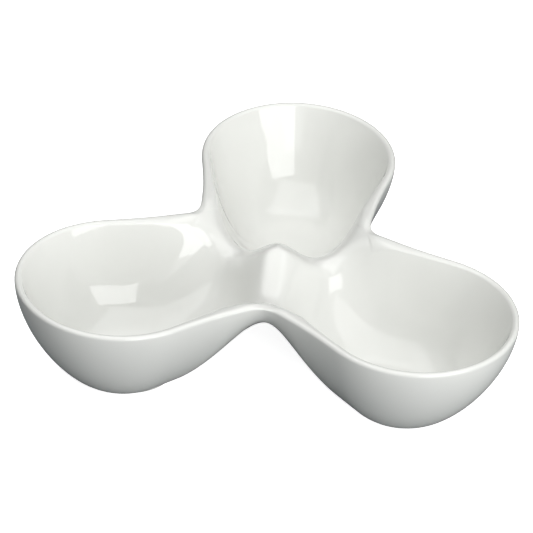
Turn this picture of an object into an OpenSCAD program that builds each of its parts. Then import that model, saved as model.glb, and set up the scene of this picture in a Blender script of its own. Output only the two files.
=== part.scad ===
// Divided serving bowl in glazed porcelain: three deep lobes round one axis, kept apart by a
// three-armed divider that dips between the lobes and rises to a knob in the middle.
// The dish stands on three foot rings. Millimetres, +Z up, the rear lobe towards +Y.
// The origin is on the table, under the middle of the dish's outline.

/* [Outline from above] */
// From the middle of the dish to the middle of each lobe's round end
lobe_offset = 87.1; // [78:0.1:96]
// Radius of a lobe's round end, to the middle of the rim
lobe_radius = 49.8; // [44:0.1:55]
// From the middle of the dish to the circle that narrows each lobe into its neck
neck_offset = 55.8; // [51:0.1:61]
// Radius of that neck circle, to the middle of the rim
neck_radius = 42.3; // [38.5:0.1:46]
// How softly two lobes whose necks touch would run into each other, as a share of their reach
join_share = 0.162; // [0.12:0.001:0.2]
// How softly a neck turns in towards the middle of the dish, as a share of a lobe's reach
neck_turn_share = 0.095; // [0.08:0.001:0.12]

/* [Heights and walls] */
// Height of the rim at the lobes' ends
rim_height = 58.4; // [48:0.1:70]
// How much lower the rim plane lies in the middle of the dish
rim_sag = 1.5; // [0:0.1:4]
// Thickness of the rolled rim
rim_thickness = 3.3; // [2.8:0.1:4.4]
// Thickness of the floor of each lobe
floor_thickness = 5.6; // [4.5:0.1:8]
// Radius of the flat underside of a lobe, as a share of the lobe's reach
base_flat_share = 0.489; // [0.46:0.001:0.52]
// Radius of the flat spot in the middle of a lobe's floor, as a share of the lobe's inner reach
floor_flat_share = 0.15; // [0.05:0.001:0.2]

/* [Divider] */
// Thickness of the divider's wall, which the lobes' flanks lean against
divider_thickness = 7.2; // [6:0.1:9]
// How much further the wells' inner corners stand back, which widens the divider towards the knob
divider_spread = 7.5; // [6:0.1:10]
// How far the crest dips between the knob and the rim
divider_dip = 14.5; // [8:0.1:18]
// From the middle of the dish to where the crest is level with the rim again
divider_reach = 55; // [49:0.1:60]

/* [Foot rings] */
// From the middle of the dish to the middle of each foot ring
bowl_offset = 79.1; // [75:0.1:84]
// Outer radius of a foot ring
foot_radius = 23.3; // [19.5:0.1:24]
// Width of a foot ring
foot_width = 4.2; // [3:0.1:6]
// Height of a foot ring
foot_height = 2.3; // [1.5:0.1:4]
// Chamfer on the foot ring's contact edges
foot_chamfer = 0.5; // [0.2:0.1:0.9]

/* [Hidden] */

glaze = [0.93, 0.93, 0.91];
biscuit = [0.90, 0.88, 0.84];

// Bends of the outer wall: how early it lifts off the flat base, and how late it turns upright
wall_lift_share = 0.827;
wall_upright_share = 0.614;
// The same two bends for the inside
well_lift_share = 0.45;
well_upright_share = 0.90;
// Length of the oval that the inside starts from on its floor, as a share of the lobe's radius,
// and how long the walls keep to it before they take on the rim's outline
oval_share = 1.2;
oval_keep = 4;
// How softly the inside turns at its corners, as a share of its reach
well_turn_share = 0.13;
// Where the circle that carries the inside past the neck sits, as a share of the neck's offset
well_neck_share = 0.60;
// How much of the gap between two necks their soft joint takes up
gap_share = 0.8;
// Half the angle between the two inner sides of a well
well_half_angle = 70;
// How far out the inside's edge is soft, as a share of the crest's reach
soft_reach_share = 1.1;
// How the crest's dip is set towards the knob
dip_place_share = 0.90;
// How the underside holds back from the crest on its way to the middle, and how far out, as a
// share of the crest's reach
arch_hold_share = 0.8;
arch_reach_share = 0.75;
// Where the rays that mark out the rim start, as a share of the bowl's offset
fan_share = 0.63;
// How the rays crowd towards the notch
crowd = 1.3;

// Grid: rays along half a rim, rays along half a neck, and steps on each surface
rim_rays = 20;
neck_rays = 9;
well_steps = 7;
crest_steps = 3;
roll_steps = 3;
wall_steps = 7;
cross_steps = 2;
halvings = 34;
least_closing_share = 1 / 64;

arms = 3;
lobe_turn = 360 / arms;
half_wedge = lobe_turn / 2;
quarter = 90;

crest = rim_thickness / 2;
half_divider = divider_thickness / 2;
floor_z = foot_height + floor_thickness;
taper = (lobe_radius - neck_radius) / (lobe_offset - neck_offset);
well_neck_offset = neck_offset * well_neck_share;
well_neck_radius = neck_radius - taper * (neck_offset - well_neck_offset);
bowl = [0, bowl_offset];
fan = [0, bowl_offset * fan_share];

// The divider's first arm points this way, with the rear lobe on its far side
along = [sin(half_wedge), cos(half_wedge)];
aside = [-cos(half_wedge), sin(half_wedge)];
inner_end = half_divider / tan(half_wedge);
well_start = half_divider / sin(half_wedge) + divider_spread;
soft_reach = divider_reach * soft_reach_share;
arch_reach = divider_reach * arch_reach_share;
well_climb = 1 / (well_lift_share * (1 - floor_flat_share));

// Necks that stand further apart need a softer joint to meet at the same notch
neck_gap = neck_offset * sin(half_wedge) - neck_radius;
joint = join_share + gap_share * neck_gap / (bowl_offset * ln(arms - 1));

function turned(p, a) = [p.x * cos(a) - p.y * sin(a), p.x * sin(a) + p.y * cos(a)];
function on_arm(r, t) = r * along + t * aside;
function mixed(a, b, s) = a + (b - a) * s;

// Reach from the bowl's middle along e to the far side of a circle whose middle is at y
function circle_reach(e, y, r) =
    let (b = e.y * (bowl_offset - y), c = pow(bowl_offset - y, 2) - r * r)
    sqrt(max(b * b - c, 0)) - b;

// Reach along e to a lobe's outline: its two circles and the straight flanks between them
function egg_reach(e, grow, neck_y, neck_r) =
    let (big = lobe_radius + grow, small = neck_r + grow,
         ny = (small - big) / (lobe_offset - neck_y), nx = sqrt(1 - ny * ny),
         to_big = circle_reach(e, lobe_offset, big),
         to_small = circle_reach(e, neck_y, small))
    bowl_offset + to_big * e.y - lobe_offset >= big * ny ? to_big
    : to_small > 0 && bowl_offset + to_small * e.y - neck_y <= small * ny ? to_small
    : (ny * (lobe_offset - bowl_offset) + big) / (nx * abs(e.x) + ny * e.y);

// How far out p lies in one lobe: 0 at the bowl's middle, 1 on the lobe's own outline, which
// is the egg cut by two planes that meet at start on the lobe's axis, with rounded corners
function own_share(p, grow, start, half, turn, neck_y, neck_r) =
    let (d = p - bowl, r = norm(d), deep = (bowl_offset - start) * sin(half),
         toward = -d.y * sin(half), across = d.x * cos(half), k = 1 / turn)
    pow(pow(r / egg_reach(d / r, grow, neck_y, neck_r), k)
        + pow(max((toward + across) / deep, 0), k)
        + pow(max((toward - across) / deep, 0), k), turn);

function lobe_share(p, grow) =
    own_share(p, grow, 0, half_wedge, neck_turn_share, neck_offset, neck_radius);

// The three lobes run together: 1 on the rim's centreline, or on its outside when grown
function dish_share(p, grow) =
    pow([for (a = [0 : arms - 1])
            pow(lobe_share(turned(p, a * lobe_turn), grow), -1 / joint)]
        * [for (a = [0 : arms - 1]) 1], -joint);

function well_share(p) =
    own_share(p, -crest, well_start, well_half_angle, well_turn_share,
              well_neck_offset, well_neck_radius);

// Share of the way up a wall at share s of the way out
function lift(s, flat, start, finish) =
    let (u = min(max((s - flat) / (1 - flat), 0), 1))
    1 - pow(1 - pow(u, 1 / start), finish);

function rim_z(p) = rim_height - rim_sag * (1 - pow(norm(p) / (lobe_offset + lobe_radius), 2));
function crest_z(p) =
    rim_z(p) - divider_dip
        * pow(sin(2 * quarter * pow(min(norm(p) / divider_reach, 1), dip_place_share)), 2);
function under_z(p) =
    let (hold = 1 + arch_hold_share * (1 - pow(min(norm(p) / arch_reach, 1), 2)))
    foot_height + (rim_z(p) - crest - foot_height)
        * lift(pow(dish_share(p, crest), hold), base_flat_share, wall_lift_share,
               wall_upright_share);

// Halving search for where the dish's outline crosses the line from a to b
function crossing(a, b, grow, n = halvings) =
    n == 0 ? (a + b) / 2
    : dish_share((a + b) / 2, grow) < 1 ? crossing((a + b) / 2, b, grow, n - 1)
    : crossing(a, (a + b) / 2, grow, n - 1);

// The plane between two lobes, seen from a point on the lobe's axis along the unit vector e
function plane_reach(start_y, e) =
    let (closing = abs(e.x) * cos(half_wedge) - e.y * sin(half_wedge))
    min(start_y * sin(half_wedge) / max(closing, least_closing_share), 2 * lobe_offset);

// From start along e to the rim's centreline or to the plane between lobes
function edge_point(start, e, grow) =
    let (limit = start + e * plane_reach(start.y, e))
    dish_share(limit, grow) < 1 ? limit : crossing(start, limit, grow);

// Where an arm's line, t off its middle, meets the rim
function arm_end(t, grow) =
    crossing(on_arm(inner_end, t), on_arm(lobe_offset, t), grow);

// The inside: the well, its edge, and the crest between the edge and its ridge line. At the rim
// the edge is upright and the crest a quarter round. Towards the knob both ease into one slope,
// where the crest sinks as far below its ridge as a well wall of that grade asks for.
function inside_z(p) =
    let (s = well_share(p), top = crest_z(p), deep = top - floor_z,
         d = p - bowl, r = norm(d), e = d / r, edge = r / s,
         oval = norm([d.x, d.y / oval_share]) / lobe_radius / s, t = min(s, 1),
         out = t * (oval + (1 - oval) * pow(t, oval_keep)),
         width = norm(edge_point(bowl, e, 0) - bowl) - edge,
         soft = max(1 - pow(norm(bowl + e * edge) / soft_reach, 4), 0),
         grade = well_climb / edge * (1 + oval_keep * (1 - oval)), broad = grade * (crest + well_start * soft),
         sink = deep * broad / (2 + broad), fall = mixed(crest, sink, soft),
         v = min(max(1 - (r - edge) / width, 0), 1),
         steep = min((deep - fall) * grade * width, 3 * sink),
         rolled = crest * (1 - sqrt(1 - v * v)),
         eased = (3 * sink - steep) * pow(v, 2) + (steep - 2 * sink) * pow(v, 3))
    s < 1 ? floor_z + (deep - fall)
        * lift(out, floor_flat_share, well_lift_share, mixed(well_upright_share, 1, soft))
    : top - mixed(rolled, eased, soft);

function with_z(p, z) = [p.x, p.y, z];
function steps(n) = [for (i = [1 : n]) i / n];

// The rolled lip from the crest at a down to the outside of the rim at b
function lip(a, b) =
    let (za = crest_z(a), zb = rim_z(b) - crest)
    [for (s = steps(roll_steps))
        with_z(mixed(a, b, sin(quarter * s)), mixed(zb, za, cos(quarter * s)))];

// Marks along the right half of a lobe's edge: the rim from its end to the notch, then the
// divider's face from the notch to the lobe's axis
function half_edge(grow) =
    let (notch = arm_end(half_divider, grow), to = notch - fan, wide = atan2(to.x, to.y))
    concat([for (i = [0 : rim_rays - 1])
                let (a = wide * (1 - pow(1 - i / rim_rays, crowd)))
                edge_point(fan, [sin(a), cos(a)], grow)],
           [for (i = [0 : neck_rays])
                mixed(notch, on_arm(inner_end, half_divider), i / neck_rays)]);

top_edge = half_edge(0);
low_edge = half_edge(crest);
half_count = len(top_edge);

// One ray of the lobe: up the well, over the edge, down the outside and in along the base
function ray(i) =
    let (a = top_edge[i], b = low_edge[i],
         ra = norm(a - bowl), ea = (a - bowl) / ra, well = 1 / well_share(bowl + ea),
         rb = norm(b - bowl), eb = (b - bowl) / rb,
         flat = base_flat_share / lobe_share(bowl + eb, crest))
    concat([for (s = concat([0], steps(well_steps)))
                let (p = bowl + ea * well * mixed(floor_flat_share, 1, sin(quarter * s)))
                with_z(p, s == 0 ? floor_z : inside_z(p))],
           [for (s = steps(crest_steps))
                let (p = bowl + ea * mixed(ra, well, cos(quarter * s)))
                with_z(p, i < rim_rays && s == 1 ? crest_z(p) : inside_z(p))],
           i <= rim_rays ? lip(a, b)
           : [for (s = steps(roll_steps))
                with_z(mixed(a, b, s), mixed(inside_z(a), under_z(b), s))],
           [for (s = steps(wall_steps))
                let (p = bowl + eb * mixed(flat, rb, cos(quarter * s)))
                with_z(p, s == 1 ? foot_height : under_z(p))]);

half_rays = [for (i = [0 : half_count - 1]) ray(i)];
rays = concat(half_rays,
              [for (i = [half_count - 2 : -1 : 1]) [for (p = half_rays[i]) [-p.x, p.y, p.z]]]);
ray_count = len(rays);
ray_length = len(rays[0]);

function grid(i, j) = (i % ray_count) * ray_length + j;

// The outline's depth, so that the origin can sit under its middle
outline = concat(low_edge, [for (p = low_edge) [-p.x, p.y]]);
rear_y = max([for (p = outline) p.y]);
front_y = min([for (p = outline, a = [1 : arms - 1]) turned(p, a * lobe_turn).y]);
middle_y = (rear_y + front_y) / 2;

// One lobe, the rear one
module bowl_shell() {
    floor_mid = ray_count * ray_length;
    base_mid = floor_mid + 1;
    polyhedron(
        points = concat([for (r = rays, p = r) p],
                        [with_z(bowl, floor_z), with_z(bowl, foot_height)]),
        faces = concat(
            [for (i = [0 : ray_count - 1]) [floor_mid, grid(i, 0), grid(i + 1, 0)]],
            [for (i = [0 : ray_count - 1])
                [base_mid, grid(i + 1, ray_length - 1), grid(i, ray_length - 1)]],
            [for (i = [0 : ray_count - 1], j = [0 : ray_length - 2])
                [grid(i, j), grid(i, j + 1), grid(i + 1, j + 1)]],
            [for (i = [0 : ray_count - 1], j = [0 : ray_length - 2])
                [grid(i, j), grid(i + 1, j + 1), grid(i + 1, j)]]),
        convexity = 6);
}

// A slice along an arm of the divider, t off its middle: out along the crest, over the rim
// and back along the underside
function slice(t) =
    let (a = arm_end(abs(t), 0), b = arm_end(abs(t), crest), c = on_arm(inner_end, abs(t)),
         top = [for (i = [neck_rays : -1 : 0]) mixed(a, c, i / neck_rays)],
         low = [for (i = [1 : neck_rays]) mixed(b, c, i / neck_rays)],
         side = t < 0 ? -1 : 1)
    [for (p = concat([for (p = top) with_z(p, inside_z(p))], lip(a, b),
                     [for (p = low) with_z(p, under_z(p))]))
        let (f = [p.x, p.y], q = on_arm(f * along, side * (f * aside))) with_z(q, p.z)];

// The three arms and the knob in one piece; neighbouring arms share the edge between them
module divider_wall() {
    last = 2 * cross_steps;
    arm = [for (i = [0 : last]) slice(half_divider * (i / cross_steps - 1))];
    length = len(arm[0]);
    size = (last + 1) * length;
    crest_mid = arms * size;
    under_mid = crest_mid + 1;
    function at(a, i, j) =
        i == 0 && (j == 0 || j == length - 1)
        ? ((a + arms - 1) % arms) * size + last * length + j
        : (a % arms) * size + i * length + j;
    function face_mate(j) = length - 1 - j;
    polyhedron(
        points = concat([for (a = [0 : arms - 1], s = arm, p = s)
                            with_z(turned(p, a * lobe_turn), p.z)],
                        [[0, 0, crest_z([0, 0])], [0, 0, under_z([0, 0])]]),
        faces = concat(
            [for (a = [0 : arms - 1], i = [0 : last - 1]) [crest_mid, at(a, i + 1, 0), at(a, i, 0)]],
            [for (a = [0 : arms - 1], i = [0 : last - 1])
                [under_mid, at(a, i, length - 1), at(a, i + 1, length - 1)]],
            [for (a = [0 : arms - 1], i = [0 : last - 1], j = [0 : length - 2])
                [at(a, i, j), at(a, i + 1, j), at(a, i + 1, j + 1)]],
            [for (a = [0 : arms - 1], i = [0 : last - 1], j = [0 : length - 2])
                [at(a, i, j), at(a, i + 1, j + 1), at(a, i, j + 1)]],
            [for (a = [0 : arms - 1], j = [0 : neck_rays - 1], k = [0, 1])
                k == 0 ? [at(a, 0, j), at(a, 0, j + 1), at(a, 0, face_mate(j + 1))]
                       : [at(a, 0, j), at(a, 0, face_mate(j + 1)), at(a, 0, face_mate(j))]],
            [for (a = [0 : arms - 1], j = [0 : neck_rays - 1], k = [0, 1])
                k == 0 ? [at(a, last, j + 1), at(a, last, j), at(a, last, face_mate(j + 1))]
                       : [at(a, last, face_mate(j + 1)), at(a, last, j), at(a, last, face_mate(j))]],
            [for (a = [0 : arms - 1]) [for (j = [0 : roll_steps]) at(a, 0, neck_rays + j)]],
            [for (a = [0 : arms - 1])
                [for (j = [roll_steps : -1 : 0]) at(a, last, neck_rays + j)]]),
        convexity = 6);
}

// One foot ring, under the rear lobe
module foot_ring() {
    translate([0, bowl_offset, 0])
        rotate_extrude($fn = 96)
            polygon([[foot_radius - foot_width + foot_chamfer, 0],
                     [foot_radius - foot_chamfer, 0],
                     [foot_radius, foot_chamfer],
                     [foot_radius, foot_height],
                     [foot_radius - foot_width, foot_height],
                     [foot_radius - foot_width, foot_chamfer]]);
}

// Puts a piece of the rear lobe in its place round the dish
module placed(a) {
    translate([0, -middle_y, 0]) rotate([0, 0, a * lobe_turn]) children();
}

module rear_bowl() { color(glaze) placed(0) bowl_shell(); }
module left_bowl() { color(glaze) placed(1) bowl_shell(); }
module right_bowl() { color(glaze) placed(2) bowl_shell(); }
module centre_divider() { color(glaze) placed(0) divider_wall(); }
module rear_foot_ring() { color(biscuit) placed(0) foot_ring(); }
module left_foot_ring() { color(biscuit) placed(1) foot_ring(); }
module right_foot_ring() { color(biscuit) placed(2) foot_ring(); }

rear_bowl();
left_bowl();
right_bowl();
centre_divider();
rear_foot_ring();
left_foot_ring();
right_foot_ring();
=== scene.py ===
# %% [markdown]
# # A divided serving dish in white porcelain
# The real thing is one casting: three deep lobes round a knob, dipped in clear glaze and fired.
# This lesson builds its skin from a few measured sizes, gives it a glazed porcelain finish, and
# lights it as a studio lights white tableware.

import bmesh
import bpy
import numpy as np
from mathutils import Matrix, Vector


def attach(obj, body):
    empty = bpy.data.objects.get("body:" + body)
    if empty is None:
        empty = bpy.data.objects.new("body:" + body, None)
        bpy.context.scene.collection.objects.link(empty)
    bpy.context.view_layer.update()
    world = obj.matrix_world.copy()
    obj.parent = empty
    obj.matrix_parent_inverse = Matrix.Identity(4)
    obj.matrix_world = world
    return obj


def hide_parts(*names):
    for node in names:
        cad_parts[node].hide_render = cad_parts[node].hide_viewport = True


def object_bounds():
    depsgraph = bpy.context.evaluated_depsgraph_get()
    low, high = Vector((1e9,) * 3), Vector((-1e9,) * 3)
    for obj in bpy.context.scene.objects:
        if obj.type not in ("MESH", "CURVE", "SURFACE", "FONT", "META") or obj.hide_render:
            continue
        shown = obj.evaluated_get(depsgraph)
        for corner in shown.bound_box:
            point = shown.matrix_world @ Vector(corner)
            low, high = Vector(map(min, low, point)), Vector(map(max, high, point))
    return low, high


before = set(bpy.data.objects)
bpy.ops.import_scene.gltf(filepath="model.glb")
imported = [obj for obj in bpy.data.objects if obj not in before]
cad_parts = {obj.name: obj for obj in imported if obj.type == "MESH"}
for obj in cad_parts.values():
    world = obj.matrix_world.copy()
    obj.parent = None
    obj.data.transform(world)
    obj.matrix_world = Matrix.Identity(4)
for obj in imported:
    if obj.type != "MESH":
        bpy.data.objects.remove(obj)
cad_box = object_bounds()
MM = 0.001
size_mm = [(b - a) / MM for a, b in zip(*cad_box)]
print("CAD box in mm:", [round(s, 1) for s in size_mm])

# %% [markdown]
# ## Sizes
# A potter would draw this dish with a compass: a circle for each lobe's round end, a smaller one
# for its neck, and a soft fillet where two lobes meet. The solid model's sizes are repeated here
# in millimetres, so the skin lies close to the solid: the outside within about a millimetre, the
# inside within about two. The lobe's radius is 0.2 mm less than the solid's, whose rim is drawn in
# short straight pieces, so that the skin stays inside the solid's box.

# %% Driving sizes, in millimetres
LOBES = 3
LOBE_OFFSET, LOBE_RADIUS = 87.1, 49.6
NECK_OFFSET, NECK_RADIUS = 55.8, 42.3
BOWL_OFFSET = 79.1
RIM_HEIGHT, RIM_SAG, CREST = 58.4, 1.5, 1.65
FOOT_RADIUS, FOOT_WIDTH, FOOT_HEIGHT = 23.3, 4.2, 2.3
FLOOR = FOOT_HEIGHT + 5.6
HALF_DIVIDER, DIVIDER_SPREAD = 3.6, 7.5
DIP, DIP_REACH, DIP_PLACE = 14.5, 55.0, 0.90
print("a lobe ends", round(LOBE_OFFSET + LOBE_RADIUS, 1), "mm from the dish's axis")

# %% Softness of the joints and bends, as shares
# A wall's three shares are its flat base, then the start and the finish of its rise. The well's
# are a little straighter than in the solid model, as the reflections in the photograph ask.
NECK_TURN, WELL_TURN, WELL_NECK_SHARE = 0.095, 0.13, 0.60
JOIN_SHARE, GAP_SHARE = 0.162, 0.8
WALL = (0.489, 0.827, 0.614)
WELL = (0.12, 0.365, 1.08)
OVAL, OVAL_KEEP = LOBE_RADIUS * np.array([1, 1.2]), 4
ARCH_HOLD, ARCH_REACH, SOFT_REACH = 0.8, 0.75 * DIP_REACH, 1.1 * DIP_REACH
print("the divider is soft as far out as", round(SOFT_REACH, 1), "mm")

# %% Forms that only the skin has
# The rolled lip reaches this slope where it runs into the inside wall. Beside the knob the
# divider's shoulders are fuller by a height, at a distance from the planes between the lobes, and
# fade out at a reach from the axis, all in millimetres.
LIP_SLOPE = np.radians(66)
KNOB_SHOULDER, KNOB_FULLNESS, KNOB_REACH = 7.5, 2.2, 34.0
print("the lip falls", round(CREST * np.tan(LIP_SLOPE / 2), 2), "mm as it rolls in")

# %% Sizes that follow
TAPER = (LOBE_RADIUS - NECK_RADIUS) / (LOBE_OFFSET - NECK_OFFSET)
WELL_NECK = NECK_OFFSET * WELL_NECK_SHARE
WELL_NECK_RADIUS = NECK_RADIUS - TAPER * (NECK_OFFSET - WELL_NECK)

TURN = 2 * np.pi / LOBES
HALF_WEDGE, WELL_HALF_ANGLE = TURN / 2, np.radians(70)
SIN, COS = np.sin(HALF_WEDGE), np.cos(HALF_WEDGE)
WELL_START = HALF_DIVIDER / SIN + DIVIDER_SPREAD
NECK_GAP = NECK_OFFSET * SIN - NECK_RADIUS
JOINT = JOIN_SHARE + GAP_SHARE * NECK_GAP / (BOWL_OFFSET * np.log(LOBES - 1))
ALONG = np.array([SIN, COS])
BOWL = np.array([0.0, BOWL_OFFSET])
print("each well starts", round(WELL_START, 1), "mm from the axis")

# %% [markdown]
# ## The outline as a formula
# Porcelain shrinks and softens in the kiln, so a dish has no hard corners. A formula keeps every
# bend smooth: each lobe gets a share that is 0 in its middle and 1 on its outline, and the three
# shares are blended. Modelling by hand with subdivision would also do, but a formula built on the
# solid's own sizes follows the solid more closely.

# %% Outline of one lobe
TINY = 1e-9


def circle_reach(e, y, r):
    """Reach from the bowl's middle along e to the far side of a circle centred at height y."""
    b = e[..., 1] * (BOWL_OFFSET - y)
    return np.sqrt(np.maximum(b * b - (BOWL_OFFSET - y) ** 2 + r * r, 0)) - b


def egg_reach(e, grow, neck_y, neck_r):
    """Reach along e to a lobe's two circles and the straight flanks between them."""
    big, small = LOBE_RADIUS + grow, neck_r + grow
    ny = (small - big) / (LOBE_OFFSET - neck_y)
    nx = np.sqrt(1 - ny * ny)
    to_big, to_small = circle_reach(e, LOBE_OFFSET, big), circle_reach(e, neck_y, small)
    at_big = BOWL_OFFSET + to_big * e[..., 1] - LOBE_OFFSET >= big * ny
    at_small = (to_small > 0) & (BOWL_OFFSET + to_small * e[..., 1] - neck_y <= small * ny)
    closing = nx * abs(e[..., 0]) + ny * e[..., 1]
    facing = np.where(abs(closing) < TINY, TINY, closing)
    flank = (ny * (LOBE_OFFSET - BOWL_OFFSET) + big) / facing
    return np.where(at_big, to_big, np.where(at_small, to_small, flank))


UPWARDS = np.array([0.0, 1.0])
far_end = BOWL_OFFSET + egg_reach(UPWARDS, 0, NECK_OFFSET, NECK_RADIUS)
print("a lobe's far end by the formula:", round(float(far_end), 1), "mm")


# %% Shares: how far out a point lies
def own_share(p, grow, start, half, turn, neck_y, neck_r):
    """How far out p lies in one lobe, whose two inner planes meet at start on its axis."""
    d = p - BOWL
    r = np.linalg.norm(d, axis=-1)
    deep = (BOWL_OFFSET - start) * np.sin(half)
    toward, across = -d[..., 1] * np.sin(half), d[..., 0] * np.cos(half)
    reach = egg_reach(d / r[..., None], grow, neck_y, neck_r)
    k = 1 / turn
    return ((r / reach) ** k + np.maximum((toward + across) / deep, 0) ** k
            + np.maximum((toward - across) / deep, 0) ** k) ** turn


def turned(p, a):
    """p turned about the dish's axis by a."""
    return p @ np.array([[np.cos(a), np.sin(a)], [-np.sin(a), np.cos(a)]])


def lobe_share(p, grow):
    """The rear lobe alone, as far as the planes that part it from its neighbours."""
    return own_share(p, grow, 0, HALF_WEDGE, NECK_TURN, NECK_OFFSET, NECK_RADIUS)


def dish_share(p, grow):
    """The lobes run together: 1 on the rim's centreline, or on its outside when grown."""
    lobes = (lobe_share(turned(p, i * TURN), grow) for i in range(LOBES))
    return sum(share ** (-1 / JOINT) for share in lobes) ** -JOINT


def well_share(p):
    """How far out p lies inside a lobe: 1 at the edge of its well."""
    return own_share(p, -CREST, WELL_START, WELL_HALF_ANGLE, WELL_TURN, WELL_NECK, WELL_NECK_RADIUS)


print("share at the far end:", round(float(dish_share(UPWARDS[None] * far_end, 0)[0]), 3))

# %% [markdown]
# ## The heights as formulas
# The wall of a slip-cast dish rises in one easy curve from its flat base, and the crest between
# the lobes dips and climbs again to the knob. Each height is a curve of how far out a point lies,
# so a wall stays smooth all round however the outline bends.

# %% Outside, rim and crest
def lift(s, flat, start, finish):
    """Share of the way up a wall, at share s of the way out."""
    u = np.clip((s - flat) / (1 - flat), 0, 1)
    return 1 - (1 - u ** (1 / start)) ** finish


def rim_z(p):
    """The rim's top, which sags a little towards the middle of the dish."""
    r = np.linalg.norm(p, axis=-1)
    return RIM_HEIGHT - RIM_SAG * (1 - (r / (LOBE_OFFSET + LOBE_RADIUS)) ** 2)


def crest_z(p):
    """The divider's crest: level with the rim, then a dip, then the knob."""
    r = np.minimum(np.linalg.norm(p, axis=-1) / DIP_REACH, 1)
    return rim_z(p) - DIP * np.sin(np.pi * r ** DIP_PLACE) ** 2


def under_z(p):
    """The outside, from the flat base up to the underside of the rim."""
    r = np.minimum(np.linalg.norm(p, axis=-1) / ARCH_REACH, 1)
    share = np.minimum(dish_share(p, CREST), 1) ** (1 + ARCH_HOLD * (1 - r ** 2))
    return FOOT_HEIGHT + (rim_z(p) - CREST - FOOT_HEIGHT) * lift(share, *WALL)


arm = crest_z(np.linspace(0, DIP_REACH, 56)[:, None] * ALONG)
print("crest: knob at", round(arm[0], 1), "mm, dip down to", round(arm.min(), 1), "mm")

# %% [markdown]
# ## Finding the rim
# The blended outline has no simple equation to solve, so the rim is found as one finds a page in a
# book: halve the stretch again and again, and keep the half in which the outline is crossed.

# %% Search along a line
HALVINGS = 40
LEAST_CLOSING = 1 / 68


def crossing(a, b, grow):
    """Where the dish's outline crosses the lines from a to b."""
    for _ in range(HALVINGS):
        mid = (a + b) / 2
        inside = (dish_share(mid, grow) < 1)[..., None]
        a, b = np.where(inside, mid, a), np.where(inside, b, mid)
    return (a + b) / 2


def edge_point(start, e, grow):
    """From start along e to the rim, or to the plane between two lobes."""
    closing = np.maximum(abs(e[..., 0]) * COS - e[..., 1] * SIN, LEAST_CLOSING)
    limit = start + e * np.minimum(start[1] * SIN / closing, 2 * LOBE_OFFSET)[..., None]
    found = crossing(np.broadcast_to(start, limit.shape).copy(), limit, grow)
    return np.where((dish_share(limit, grow) < 1)[..., None], limit, found)


notch_at = np.linalg.norm(crossing(np.zeros(2), ALONG * LOBE_OFFSET, 0))
print("the notch between two lobes is", round(float(notch_at), 1), "mm from the axis")

# %% [markdown]
# ## The inside of a bowl
# A spoon has to sweep the bowl clean, so floor and wall are one bend. Above the well's edge the
# wall rounds over into the crest, which falls further where the divider is wide, and beside the
# knob the shoulders are full. The glaze mirrors the lamps here, so the slopes were matched to
# where their reflections lie in the photograph.

# %% Inside heights
NEAREST = 0.1


def knob_shoulder(p):
    """How much fuller the divider is beside the knob."""
    across = np.stack([p[..., 1] * SIN - p[..., 0] * COS, p[..., 1] * SIN + p[..., 0] * COS])
    near = (np.maximum(across, NEAREST) ** -4).sum(0) ** -0.25 / KNOB_SHOULDER
    fade = (np.linalg.norm(p, axis=-1) / KNOB_REACH) ** 4
    return KNOB_FULLNESS * near ** 2 * np.exp(1 - near ** 2 - fade)


def inside_z(p):
    """The inside: the well, its edge, the rounded crest and the shoulders beside the knob."""
    s, top = well_share(p), crest_z(p)
    r = np.linalg.norm(p - BOWL, axis=-1)
    e = (p - BOWL) / r[..., None]
    edge, ridge = r / s, np.linalg.norm(edge_point(BOWL, e, 0) - BOWL, axis=-1)
    edge_at = np.linalg.norm(BOWL + e * edge[..., None], axis=-1)
    soft = np.clip(1 - (edge_at / SOFT_REACH) ** 4, 0, 1)

    # How steeply the well reaches its edge, and how far the crest has fallen there
    oval = np.linalg.norm((p - BOWL) / OVAL, axis=-1) / s
    grade = (1 + OVAL_KEEP * (1 - oval)) / (WELL[1] * (1 - WELL[0]) * edge)
    broad = CREST + WELL_START * soft
    sink = (top - FLOOR) * grade * broad / (2 + grade * broad)
    rim_fall = CREST * np.tan(LIP_SLOPE / 2)
    fall = rim_fall + (sink - rim_fall) * soft

    # The well
    out = np.minimum(s, 1) * (oval + (1 - oval) * np.minimum(s, 1) ** OVAL_KEEP)
    finish = WELL[2] + (1 - WELL[2]) * soft
    low = FLOOR + (top - fall - FLOOR) * lift(out, WELL[0], WELL[1], finish)

    # The crest, rolled at the rim and eased over the divider
    v = np.clip((ridge - r) / np.maximum(ridge - edge, 1e-6), 0, 1)
    steep = np.minimum((top - fall - FLOOR) * grade * (ridge - edge), 3 * sink)
    rolled = CREST / np.sin(LIP_SLOPE) * (1 - np.sqrt(1 - (v * np.sin(LIP_SLOPE)) ** 2))
    eased = (3 * sink - steep) * v ** 2 + (steep - 2 * sink) * v ** 3
    return np.where(s < 1, low, top - rolled - (eased - rolled) * soft) + knob_shoulder(p)


by_the_middle = (BOWL + UPWARDS)[None]
print("floor of a bowl:", round(float(inside_z(by_the_middle)[0]), 1), "mm above the table")

# %% [markdown]
# ## The skin of one lobe
# A plaster mould gives the dish its shape in one piece, so the skin is one mesh too. Rays run from
# each bowl's middle up the well, over the crest and down the outside. The rim gets a rolled lip,
# and at the divider each lobe simply meets its neighbour, where the points are later welded.

# %% Rays and rings
RIM_RAYS, NECK_RAYS = 64, 48
WELL_STEPS, CREST_STEPS, LIP_STEPS, WALL_STEPS = 34, 18, 8, 30
FAN_SHARE, CROWDING = 0.63, 1.3
FIRST_RING, MIDDLE_RINGS = 0.12, 5


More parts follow.
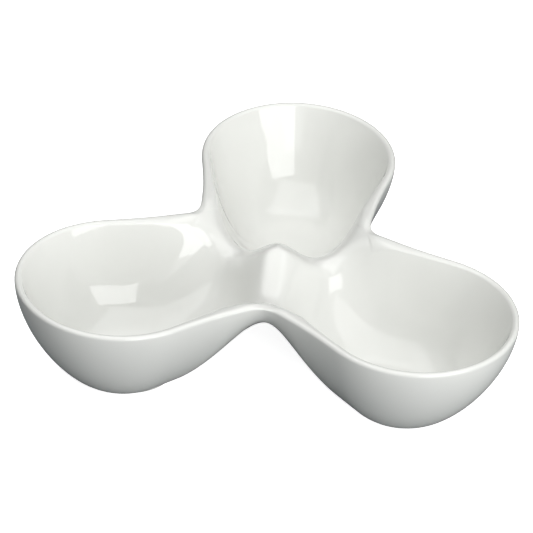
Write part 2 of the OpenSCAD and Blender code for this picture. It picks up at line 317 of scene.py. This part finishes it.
def half_edge(grow):
    """Marks along the right half of a lobe: round the rim to the notch, then in to the knob."""
    fan = BOWL * FAN_SHARE
    notch = crossing(np.zeros(2), ALONG * LOBE_OFFSET, grow)
    wide = np.arctan2(*(notch - fan))
    a = wide * (1 - (1 - np.arange(RIM_RAYS) / RIM_RAYS) ** CROWDING)
    rim = edge_point(fan, np.stack([np.sin(a), np.cos(a)], -1), grow)
    return np.vstack([rim, notch + (0 - notch) * (np.arange(NECK_RAYS + 1) / NECK_RAYS)[:, None]])


def quarter(n, first=1):
    """Angles that crowd points towards a steep end."""
    return np.pi / 2 * np.arange(first, n + 1) / n


marks = half_edge(0)
print(len(marks), "marks along half a lobe's edge")


# %% Rows of points
def lobe_rows():
    """Rows of points for the inside, the lip and the outside of the right half of a lobe."""
    top, low = half_edge(0), half_edge(CREST)
    ra, rb = (np.linalg.norm(q - BOWL, axis=1)[:, None] for q in (top, low))
    ea, eb = (top - BOWL) / ra, (low - BOWL) / rb
    well = 1 / well_share(BOWL + ea)[:, None]
    flat = WALL[0] / lobe_share(BOWL + eb, CREST)[:, None]

    reach = [well * s for s in np.linspace(FIRST_RING, 1, MIDDLE_RINGS)[:-1] * WELL[0]]
    reach += [well * (WELL[0] + (1 - WELL[0]) * np.sin(a)) for a in quarter(WELL_STEPS, 0)]
    reach += [ra + (well - ra) * np.cos(a) for a in quarter(CREST_STEPS)]
    inside = [BOWL + ea * r for r in reach]
    inside = [np.column_stack([p, inside_z(p)]) for p in inside]

    rim = slice(0, RIM_RAYS + 1)
    za, zb = crest_z(top[rim]), rim_z(low[rim]) - CREST
    lip = [np.column_stack([top[rim] + (low[rim] - top[rim]) * np.sin(a),
                            zb + (za - zb) * np.cos(a)]) for a in quarter(LIP_STEPS)]

    reach = [flat + (rb - flat) * np.cos(a) for a in quarter(WALL_STEPS, 0)]
    reach += [flat * s for s in np.linspace(1, FIRST_RING, MIDDLE_RINGS)[1:]]
    outside = [BOWL + eb * r for r in reach]
    outside = [np.column_stack([p, under_z(p)]) for p in outside]
    lip = np.concatenate([[inside[-1][rim]], lip])
    return np.array(inside), lip, np.array(outside)


half_lobe = lobe_rows()
print("rows and points of the inside, lip and outside:", [rows.shape[:2] for rows in half_lobe])

# %% [markdown]
# ## From half a lobe to a dish
# Half a lobe, mirrored and turned three times, makes the whole dish, as one pattern serves a mould
# maker three times. Points closer than the weld distance become one, so no seam shows. The
# formulas put the axis at zero, and the frame puts zero under the middle of the outline, so the
# skin is moved along by half the difference between its rear and front reach.

# %% Weld the skin
WELD, SAME = 0.002, 1e-6


def add_sheet(bm, rows):
    """Adds a grid of points as faces."""
    verts = [[bm.verts.new(p) for p in row] for row in rows]
    for a, b in zip(verts, verts[1:]):
        for i in range(len(a) - 1):
            bm.faces.new((a[i], b[i], b[i + 1], a[i + 1]))


def add_middle(bm, row, turn, z):
    """Closes the small hole in the middle of a floor or a base with a fan."""
    ring = np.concatenate([row, (row * [-1, 1, 1])[::-1]])
    ring[..., :2] = turned(ring[..., :2], turn * TURN)
    middle = bm.verts.new((*turned(BOWL, turn * TURN), z))
    verts = [bm.verts.new(p) for p in ring]
    for a, b in zip(verts, verts[1:] + verts[:1]):
        if (a.co - b.co).length > SAME:
            bm.faces.new((middle, a, b))


def porcelain_skin(inside, lip, outside):
    """One closed skin: three lobes, each in two halves, welded where they meet."""
    bm = bmesh.new()
    for turn in range(LOBES):
        for side in (1, -1):
            for rows in (inside, lip, outside):
                rows = rows.copy()
                rows[..., 0] *= side
                rows[..., :2] = turned(rows[..., :2], turn * TURN)
                add_sheet(bm, rows if side > 0 else rows[:, ::-1])
        add_middle(bm, inside[0], turn, FLOOR)
        add_middle(bm, outside[-1], turn, FOOT_HEIGHT)
    bmesh.ops.remove_doubles(bm, verts=bm.verts, dist=WELD)
    bmesh.ops.recalc_face_normals(bm, faces=bm.faces)
    return bm


dish = porcelain_skin(*half_lobe)
ys = [v.co.y for v in dish.verts]
MIDDLE = (max(ys) + min(ys)) / 2
open_edges = sum(1 for e in dish.edges if not e.is_manifold)
print("points", len(dish.verts), "faces", len(dish.faces), "open edges", open_edges,
      "shift", round(MIDDLE, 2))

# %% [markdown]
# ## Colours and nodes
# A colour picked on a screen is an sRGB code, but light adds up in linear values, so one function
# turns codes into those. Another adds a node with its settings and links in one call, which keeps
# each finish short enough to read as a recipe.

# %% Colour and node helpers
def linear(code):
    """An sRGB hex colour as linear RGBA."""
    c = [int(code[i:i + 2], 16) / 255 for i in (1, 3, 5)]
    return [x / 12.92 if x <= 0.04045 else ((x + 0.055) / 1.055) ** 2.4 for x in c] + [1.0]


def add_node(tree, kind, settings=None, links=None, **values):
    """Adds a node, sets its properties and input values, and links its inputs."""
    n = tree.nodes.new(kind)
    for k, v in (settings or {}).items():
        setattr(n, k, v)
    for k, v in values.items():
        n.inputs[k.replace("_", " ")].default_value = v
    for k, source in (links or {}).items():
        tree.links.new(source, n.inputs[k])
    return n


def new_material(name):
    """An empty material and its node tree."""
    m = bpy.data.materials.new(name)
    m.use_nodes = True
    m.node_tree.nodes.clear()
    return m, m.node_tree


print("mid grey #808080 is", round(linear("#808080")[0], 3), "in linear light")

# %% [markdown]
# ## Clear-glazed hard porcelain
# Hard porcelain is a white, slightly translucent body under a clear glaze. The body scatters
# light, so its shades stay soft, and the glaze on top gives sharp reflections at any angle. A coat
# over a diffuse base is just that: two layers, as on the real dish. The body's tone drifts over
# about 60 mm, and the glaze, which ran as it melted, ripples over about 14 mm.

# %% Glaze
def glazed_porcelain():
    """White body with a clear gloss coat."""
    m, t = new_material("Clear-glazed hard porcelain")
    place = add_node(t, "ShaderNodeTexCoord").outputs["Object"]
    cloud = add_node(t, "ShaderNodeTexNoise", links={"Vector": place},
                     Scale=1 / (60 * MM), Detail=2.0)
    tint = add_node(t, "ShaderNodeMix", {"data_type": "RGBA"}, {0: cloud.outputs["Fac"]})
    tint.inputs[6].default_value = linear("#E7E8E4")
    tint.inputs[7].default_value = linear("#EBECE8")
    ripple = add_node(t, "ShaderNodeTexNoise", links={"Vector": place},
                      Scale=1 / (14 * MM), Detail=1.0)
    bump = add_node(t, "ShaderNodeBump", links={"Height": ripple.outputs["Fac"]},
                    Strength=0.25, Distance=0.05 * MM)
    body = add_node(t, "ShaderNodeBsdfPrincipled",
                    links={"Base Color": tint.outputs[2], "Normal": bump.outputs[0],
                           "Coat Normal": bump.outputs[0]},
                    Roughness=0.5, IOR=1.5, Coat_Weight=1.0, Coat_Roughness=0.03, Coat_IOR=1.5,
                    Specular_IOR_Level=0.0)
    add_node(t, "ShaderNodeOutputMaterial", links={"Surface": body.outputs[0]})
    return m


GLAZE = glazed_porcelain()
print(GLAZE.name, "has", len(GLAZE.node_tree.nodes), "nodes")

# %% [markdown]
# ## Unglazed porcelain biscuit
# Where the dish stood in the kiln the glaze was wiped off and the ring was ground flat. Bare
# biscuit is matt and a touch warmer than the glaze. Its real grit, near a tenth of a millimetre,
# is too fine to show, so it is drawn at 0.6 mm.

# %% Biscuit
def biscuit_porcelain():
    """Bare fired body, ground flat."""
    m, t = new_material("Unglazed porcelain biscuit, ground flat")
    place = add_node(t, "ShaderNodeTexCoord").outputs["Object"]
    grain = add_node(t, "ShaderNodeTexNoise", links={"Vector": place},
                     Scale=1 / (0.6 * MM), Detail=4.0)
    tint = add_node(t, "ShaderNodeMix", {"data_type": "RGBA"}, {0: grain.outputs["Fac"]})
    tint.inputs[6].default_value = linear("#DEDAD2")
    tint.inputs[7].default_value = linear("#E9E6E0")
    bump = add_node(t, "ShaderNodeBump", links={"Height": grain.outputs["Fac"]},
                    Strength=0.4, Distance=0.03 * MM)
    body = add_node(t, "ShaderNodeBsdfPrincipled",
                    links={"Base Color": tint.outputs[2], "Normal": bump.outputs[0]},
                    Roughness=0.85, IOR=1.5)
    add_node(t, "ShaderNodeOutputMaterial", links={"Surface": body.outputs[0]})
    return m


BISCUIT = biscuit_porcelain()
print(BISCUIT.name, "has", len(BISCUIT.node_tree.nodes), "nodes")

# %% [markdown]
# ## Dressing the dish
# The lobes and the divider are one body under one coat of glaze, so one piece stands for all four
# solids. A separate piece for each would show seams that a casting does not have.

# %% Dress the dish
def finish_piece(name, bm, materials):
    """Turns a mesh in millimetres round the dish's axis into a piece in the frame."""
    bm.transform(Matrix.Scale(MM, 4) @ Matrix.Translation((0, -MIDDLE, 0)))
    mesh = bpy.data.meshes.new(name)
    bm.to_mesh(mesh)
    bm.free()
    for m in materials:
        mesh.materials.append(m)
    for p in mesh.polygons:
        p.use_smooth = True
    piece = bpy.data.objects.new(name, mesh)
    bpy.context.collection.objects.link(piece)
    return piece


skin = finish_piece("porcelain_dish", dish, [GLAZE])
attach(skin, "root")
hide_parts("rear_bowl", "left_bowl", "right_bowl", "centre_divider")
print(skin.name, "has", len(skin.data.polygons), "faces")

# %% [markdown]
# ## Foot rings
# A foot ring is turned or cast on the base. Its sides take the glaze, and the face that stands in
# the kiln is wiped clean, so it stays matt. A lathe profile spun round gives the ring, with a small
# fillet where the glaze pools against the base.

# %% Section of a foot ring
# The fillet spreads over the base, bends part of the way and runs down the side of the ring
FILLET, FILLET_BEND, FILLET_DROP = 0.3, 0.1, 0.4
FOOT_CHAMFER, FOOT_BEVEL = 0.5, 0.15


def foot_profile():
    """Outline of the ring's section as (radius, height, is it biscuit) in millimetres."""
    outer, inner, top, soft = FOOT_RADIUS, FOOT_RADIUS - FOOT_WIDTH, FOOT_HEIGHT, FOOT_CHAMFER
    return [(inner - FILLET, top, 0), (inner - FILLET_BEND, top - FILLET_BEND, 0),
            (inner, top - FILLET_DROP, 0), (inner, soft, 0),
            (inner + FOOT_BEVEL, FOOT_BEVEL, 1), (inner + soft, 0, 1),
            (outer - soft, 0, 1), (outer - FOOT_BEVEL, FOOT_BEVEL, 0),
            (outer, soft, 0), (outer, top - FILLET_DROP, 0),
            (outer + FILLET_BEND, top - FILLET_BEND, 0), (outer + FILLET, top, 0)]


print("the ring's section has", len(foot_profile()), "points")

# %% Spin the foot rings
FOOT_STEPS = 128


def foot_ring(name, turn):
    """One foot ring, under the middle of its bowl."""
    profile, n = foot_profile(), FOOT_STEPS
    middle = turned(BOWL, turn * TURN)
    around = 2 * np.pi * np.arange(n) / n
    circle = list(zip(np.cos(around), np.sin(around)))
    bm = bmesh.new()
    rows = [[bm.verts.new((middle[0] + r * c, middle[1] + r * s, z)) for c, s in circle]
            for r, z, _ in profile]
    rows.append(rows[0])
    for k, (a, b) in enumerate(zip(rows, rows[1:])):
        bare = k < len(profile) - 1 and profile[k][2] == 1 and profile[k + 1][2] == 1
        for i in range(n):
            f = bm.faces.new((a[i], a[(i + 1) % n], b[(i + 1) % n], b[i]))
            f.material_index = int(bare)
    bmesh.ops.recalc_face_normals(bm, faces=bm.faces)
    ring = finish_piece(name + "_foot", bm, [GLAZE, BISCUIT])
    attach(ring, "root")
    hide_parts(name + "_foot_ring")
    return ring


for turn, name in enumerate(("rear", "left", "right")):
    print(foot_ring(name, turn).name)

# %% [markdown]
# ## Camera
# A long lens from a step back keeps a dish from looking stretched. The angle, distance and lens
# come from fitting the rim and the silhouette of the solid model to the photograph.

# %% Camera at the photograph's angle
AZIMUTH, ELEVATION, TILT = (np.radians(a) for a in (5.749, 35.438, 3.426))
DISTANCE, LENS, SENSOR = 1532.9 * MM, 197.78, 36.0
TARGET = Vector((-7.33, 21.84 - MIDDLE, 28.32)) * MM

back = Vector((np.sin(AZIMUTH) * np.cos(ELEVATION), -np.cos(AZIMUTH) * np.cos(ELEVATION),
               np.sin(ELEVATION)))
data = bpy.data.cameras.new("camera")
data.lens, data.sensor_width, data.sensor_fit = LENS, SENSOR, "HORIZONTAL"
camera = bpy.data.objects.new("camera", data)
bpy.context.collection.objects.link(camera)
look = back.to_track_quat("Z", "Y").to_matrix().to_4x4()
stand = Matrix.Translation(TARGET + back * DISTANCE)
camera.matrix_world = stand @ look @ Matrix.Rotation(TILT, 4, "Z")
bpy.context.scene.camera = camera
print("camera", round(DISTANCE, 2), "m away with a", round(LENS), "mm lens")

# %% [markdown]
# ## Floor and world
# White tableware is shot on a sweep of white paper. Paper that lit the dish from below would wash
# out its shades, so the paper and the world are dimmer as lights than they look: Light Path tells
# the camera's rays from the rest. The paper still takes the dish's shadow, under a glow that only
# the camera sees.

# %% Paper sweep
PAPER_GLOW, PAPER_REACH = 0.87, 3


def seen_white(t, dim, seen):
    """A grey that is one value where it lights things and another where the camera sees it."""
    path = add_node(t, "ShaderNodeLightPath")
    mix = add_node(t, "ShaderNodeMix", {"data_type": "RGBA"}, {0: path.outputs["Is Camera Ray"]})
    mix.inputs[6].default_value = linear(dim)
    mix.inputs[7].default_value = linear(seen)
    return mix.outputs[2], path.outputs["Is Camera Ray"]


def floor_paper():
    """Matt white paper, which gives the eye an even ground with a soft shadow."""
    m, t = new_material("White paper sweep")
    colour, seen = seen_white(t, "#8A8E90", "#F4F4F4")
    paper = add_node(t, "ShaderNodeBsdfDiffuse", links={"Color": colour})
    share = add_node(t, "ShaderNodeMath", {"operation": "MULTIPLY"}, {0: seen})
    share.inputs[1].default_value = PAPER_GLOW
    glow = add_node(t, "ShaderNodeEmission", links={"Strength": share.outputs[0]},
                    Color=linear("#FFFFFF"))
    both = add_node(t, "ShaderNodeAddShader", links={0: paper.outputs[0], 1: glow.outputs[0]})
    add_node(t, "ShaderNodeOutputMaterial", links={"Surface": both.outputs[0]})
    return m


mesh = bpy.data.meshes.new("floor")
corners = [(x * PAPER_REACH, y * PAPER_REACH, 0) for x, y in ((-1, -1), (1, -1), (1, 1), (-1, 1))]
mesh.from_pydata(corners, [], [(0, 1, 2, 3)])
mesh.materials.append(floor_paper())
floor = bpy.data.objects.new("floor", mesh)
bpy.context.collection.objects.link(floor)
print("paper", 2 * PAPER_REACH, "m across")

# %% World
world = bpy.data.worlds.new("studio")
bpy.context.scene.world = world
world.use_nodes = True
colour, _ = seen_white(world.node_tree, "#3A3A3A", "#FFFFFF")
background = world.node_tree.nodes["Background"]
world.node_tree.links.new(colour, background.inputs["Color"])
background.inputs["Strength"].default_value = 1.0
print("world strength", background.inputs["Strength"].default_value)

# %% [markdown]
# ## Lamps
# Large soft lamps light white tableware. Each one shows as a pale patch in the glaze, so their
# places matter as much as their power: both were worked out from the patches in the photograph.

# %% Softboxes
def softbox(name, place, facing, tilt, width, height, radiance):
    """A soft lamp at a place, facing back along a bearing; radiance 1 is as bright as lit paper."""
    a, e = np.radians(facing), np.radians(tilt)
    out = Vector((np.sin(a) * np.cos(e), np.cos(a) * np.cos(e), np.sin(e)))
    lamp = bpy.data.lights.new(name, "AREA")
    lamp.shape, lamp.size, lamp.size_y = "RECTANGLE", width, height
    lamp.energy = radiance * np.pi * width * height
    o = bpy.data.objects.new(name, lamp)
    bpy.context.collection.objects.link(o)
    turn_to = out.to_track_quat("Z", "Y").to_matrix().to_4x4()
    o.matrix_world = Matrix.Translation(place) @ turn_to
    o.visible_camera = False
    print(name, "area", round(width * height, 2), "square metres")


softbox("front softbox", (0.804, -0.949, 0.575), 155, 0, 1.12, 1.09, 3.8)
softbox("overhead softbox", (0, -0.07, 1.03), 180, 86, 1.35, 1.35, 1.58)
softbox("low fill", (0.36, -1.2, 0.28), 163, 0, 0.6, 0.5, 1.2)
softbox("left softbox", (-0.69, 0, 1.01), 270, 55, 0.8, 0.8, 0.6)
softbox("rear softbox", (0, 0.69, 1.01), 0, 55, 0.8, 0.8, 0.6)

# %% [markdown]
# ## View settings
# The plain Standard view keeps each colour about as it is written.

# %% View settings
bpy.context.scene.view_settings.view_transform = "Standard"
print("view transform", bpy.context.scene.view_settings.view_transform)
